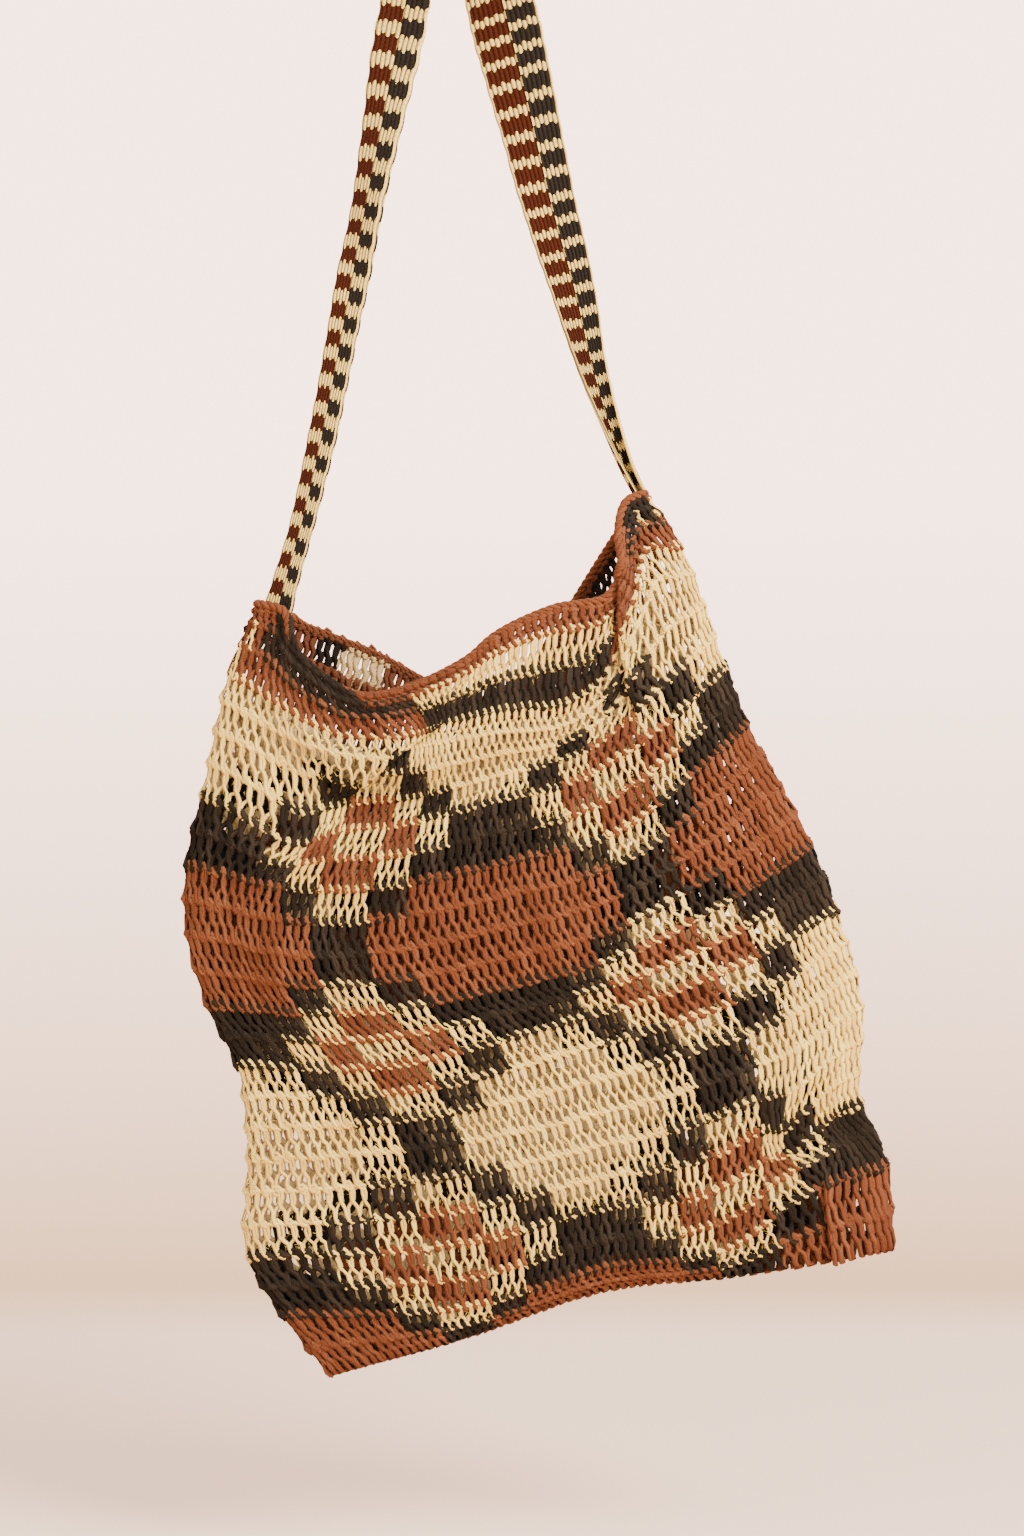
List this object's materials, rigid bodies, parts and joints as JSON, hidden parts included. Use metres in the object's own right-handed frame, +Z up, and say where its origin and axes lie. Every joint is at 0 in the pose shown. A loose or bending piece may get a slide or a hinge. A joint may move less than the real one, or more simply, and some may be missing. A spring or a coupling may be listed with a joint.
{
  "type": "string bag",
  "caption": "Empty looped-yarn shoulder bag with banded stepped pattern, corded mouth and patterned woven strap, hanging by the strap.",
  "frame": {"origin": "the inner top of the strap, where it rests on whatever holds the bag", "axes": "+Z up, +X to the right as seen from the front, the front faces -Y"},
  "size_m": [0.392, 0.0618, 0.8463],
  "materials": {
    "looped_yarn": "rough plant-fibre yarn, matt",
    "edging_yarn": "rough plied yarn, matt",
    "strap_weave": "warp-faced woven band, matt"
  },
  "bodies": {
    "root": {"bag_body": "looped_yarn", "mouth_edging": "edging_yarn", "strap": "strap_weave"}
  },
  "joints": []
}
